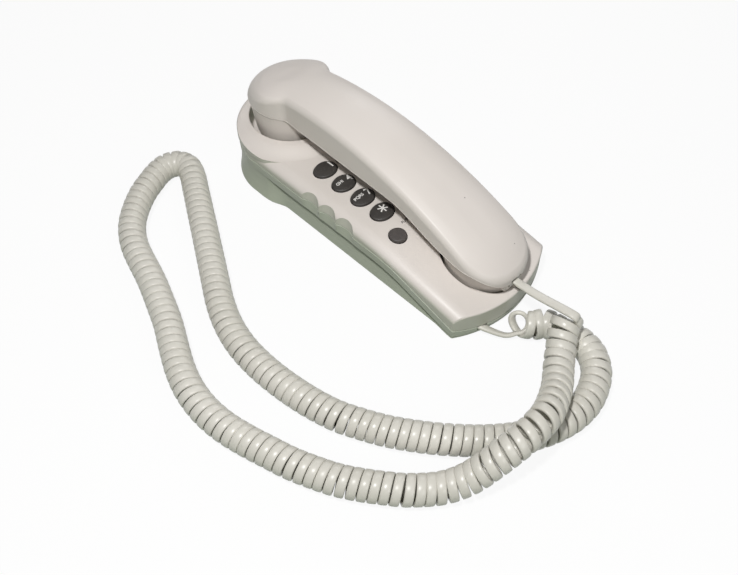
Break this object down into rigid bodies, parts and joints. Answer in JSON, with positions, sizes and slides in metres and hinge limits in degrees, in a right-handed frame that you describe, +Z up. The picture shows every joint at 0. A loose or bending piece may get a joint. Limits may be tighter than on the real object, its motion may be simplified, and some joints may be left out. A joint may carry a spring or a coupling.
{
  "type": "corded slimline telephone",
  "caption": "Cream slimline phone: keypad in a narrow base, arched handset cradled lengthwise over it, and a curly handset cord looping on the table.",
  "frame": {"origin": "under the middle of the base, on the table", "axes": "+Y to the ear end, +X to the right when dialling from the mouth end, +Z up"},
  "size_m": [0.2091, 0.2995, 0.0708],
  "materials": {
    "casing": "fine satin, warm off-white",
    "key_plastic": "satin charcoal",
    "cord": "soft gloss, off-white",
    "rubber": "matt",
    "mat": "matt",
    "steel": "plated",
    "board": "solder mask",
    "black_plastic": "moulded",
    "clear_plastic": "clear moulded",
    "brass": "plain",
    "can": "drawn"
  },
  "bodies": {
    "base": {"base_top_cover": "casing", "base_bottom_cover": "casing", "base_feet": "rubber", "base_screws": "steel", "keypad_board": "board", "board_screws": "steel", "key_mat": "mat", "hook_switch": "black_plastic", "hook_spring": "steel", "ringer_disc": "brass", "ringer_switch": "black_plastic", "line_jack": "black_plastic", "base_cord_jack": "black_plastic", "base_cord_plug": "clear_plastic", "cord_base_lead": "cord", "cord_curl": "cord", "cord_handset_lead": "cord"},
    "handset": {"handset_outer_shell": "casing", "handset_inner_shell": "casing", "handset_screws": "steel", "handset_weight": "steel", "receiver": "black_plastic", "receiver_gasket": "rubber", "microphone": "can", "microphone_boot": "rubber", "handset_jack": "black_plastic", "handset_cord_plug": "clear_plastic"},
    "hook": {"hook_plunger": "casing"},
    "ringer_knob": {"ringer_slider": "key_plastic"},
    "button_1": {"key_1": "key_plastic"},
    "button_2": {"key_2": "key_plastic"},
    "button_3": {"key_3": "key_plastic"},
    "button_4": {"key_4": "key_plastic"},
    "button_5": {"key_5": "key_plastic"},
    "button_6": {"key_6": "key_plastic"},
    "button_7": {"key_7": "key_plastic"},
    "button_8": {"key_8": "key_plastic"},
    "button_9": {"key_9": "key_plastic"},
    "button_star": {"key_star": "key_plastic"},
    "button_0": {"key_0": "key_plastic"},
    "button_hash": {"key_hash": "key_plastic"},
    "button_flash": {"key_flash": "key_plastic"},
    "button_redial": {"key_redial": "key_plastic"}
  },
  "joints": [
    {"name": "handset_lift", "type": "slide", "parent": "base", "child": "handset", "axis": [0, 0, 1], "range_m": [0, 0.08], "deforming": ["cord_handset_lead"]},
    {"name": "hook_rise", "type": "slide", "parent": "base", "child": "hook", "axis": [0, 0, 1], "range_m": [0, 0.004], "deforming": ["hook_spring"]},
    {"name": "ringer_slide", "type": "slide", "parent": "base", "child": "ringer_knob", "axis": [0, 1, 0], "range_m": [0, 0.004]},
    {"name": "press_1", "type": "slide", "parent": "base", "child": "button_1", "axis": [0, 0, -1], "range_m": [0, 0.0015], "stiffness_N_per_m": 400, "springref_m": -0.001},
    {"name": "press_2", "type": "slide", "parent": "base", "child": "button_2", "axis": [0, 0, -1], "range_m": [0, 0.0015], "stiffness_N_per_m": 400, "springref_m": -0.001},
    {"name": "press_3", "type": "slide", "parent": "base", "child": "button_3", "axis": [0, 0, -1], "range_m": [0, 0.0015], "stiffness_N_per_m": 400, "springref_m": -0.001},
    {"name": "press_4", "type": "slide", "parent": "base", "child": "button_4", "axis": [0, 0, -1], "range_m": [0, 0.0015], "stiffness_N_per_m": 400, "springref_m": -0.001},
    {"name": "press_5", "type": "slide", "parent": "base", "child": "button_5", "axis": [0, 0, -1], "range_m": [0, 0.0015], "stiffness_N_per_m": 400, "springref_m": -0.001},
    {"name": "press_6", "type": "slide", "parent": "base", "child": "button_6", "axis": [0, 0, -1], "range_m": [0, 0.0015], "stiffness_N_per_m": 400, "springref_m": -0.001},
    {"name": "press_7", "type": "slide", "parent": "base", "child": "button_7", "axis": [0, 0, -1], "range_m": [0, 0.0015], "stiffness_N_per_m": 400, "springref_m": -0.001},
    {"name": "press_8", "type": "slide", "parent": "base", "child": "button_8", "axis": [0, 0, -1], "range_m": [0, 0.0015], "stiffness_N_per_m": 400, "springref_m": -0.001},
    {"name": "press_9", "type": "slide", "parent": "base", "child": "button_9", "axis": [0, 0, -1], "range_m": [0, 0.0015], "stiffness_N_per_m": 400, "springref_m": -0.001},
    {"name": "press_star", "type": "slide", "parent": "base", "child": "button_star", "axis": [0, 0, -1], "range_m": [0, 0.0015], "stiffness_N_per_m": 400, "springref_m": -0.001},
    {"name": "press_0", "type": "slide", "parent": "base", "child": "button_0", "axis": [0, 0, -1], "range_m": [0, 0.0015], "stiffness_N_per_m": 400, "springref_m": -0.001},
    {"name": "press_hash", "type": "slide", "parent": "base", "child": "button_hash", "axis": [0, 0, -1], "range_m": [0, 0.0015], "stiffness_N_per_m": 400, "springref_m": -0.001},
    {"name": "press_flash", "type": "slide", "parent": "base", "child": "button_flash", "axis": [0, 0, -1], "range_m": [0, 0.0015], "stiffness_N_per_m": 400, "springref_m": -0.001},
    {"name": "press_redial", "type": "slide", "parent": "base", "child": "button_redial", "axis": [0, 0, -1], "range_m": [0, 0.0015], "stiffness_N_per_m": 400, "springref_m": -0.001}
  ],
  "couplings": [
    {"joint": "hook_rise", "follows": "handset_lift", "ratio": 0.05}
  ]
}
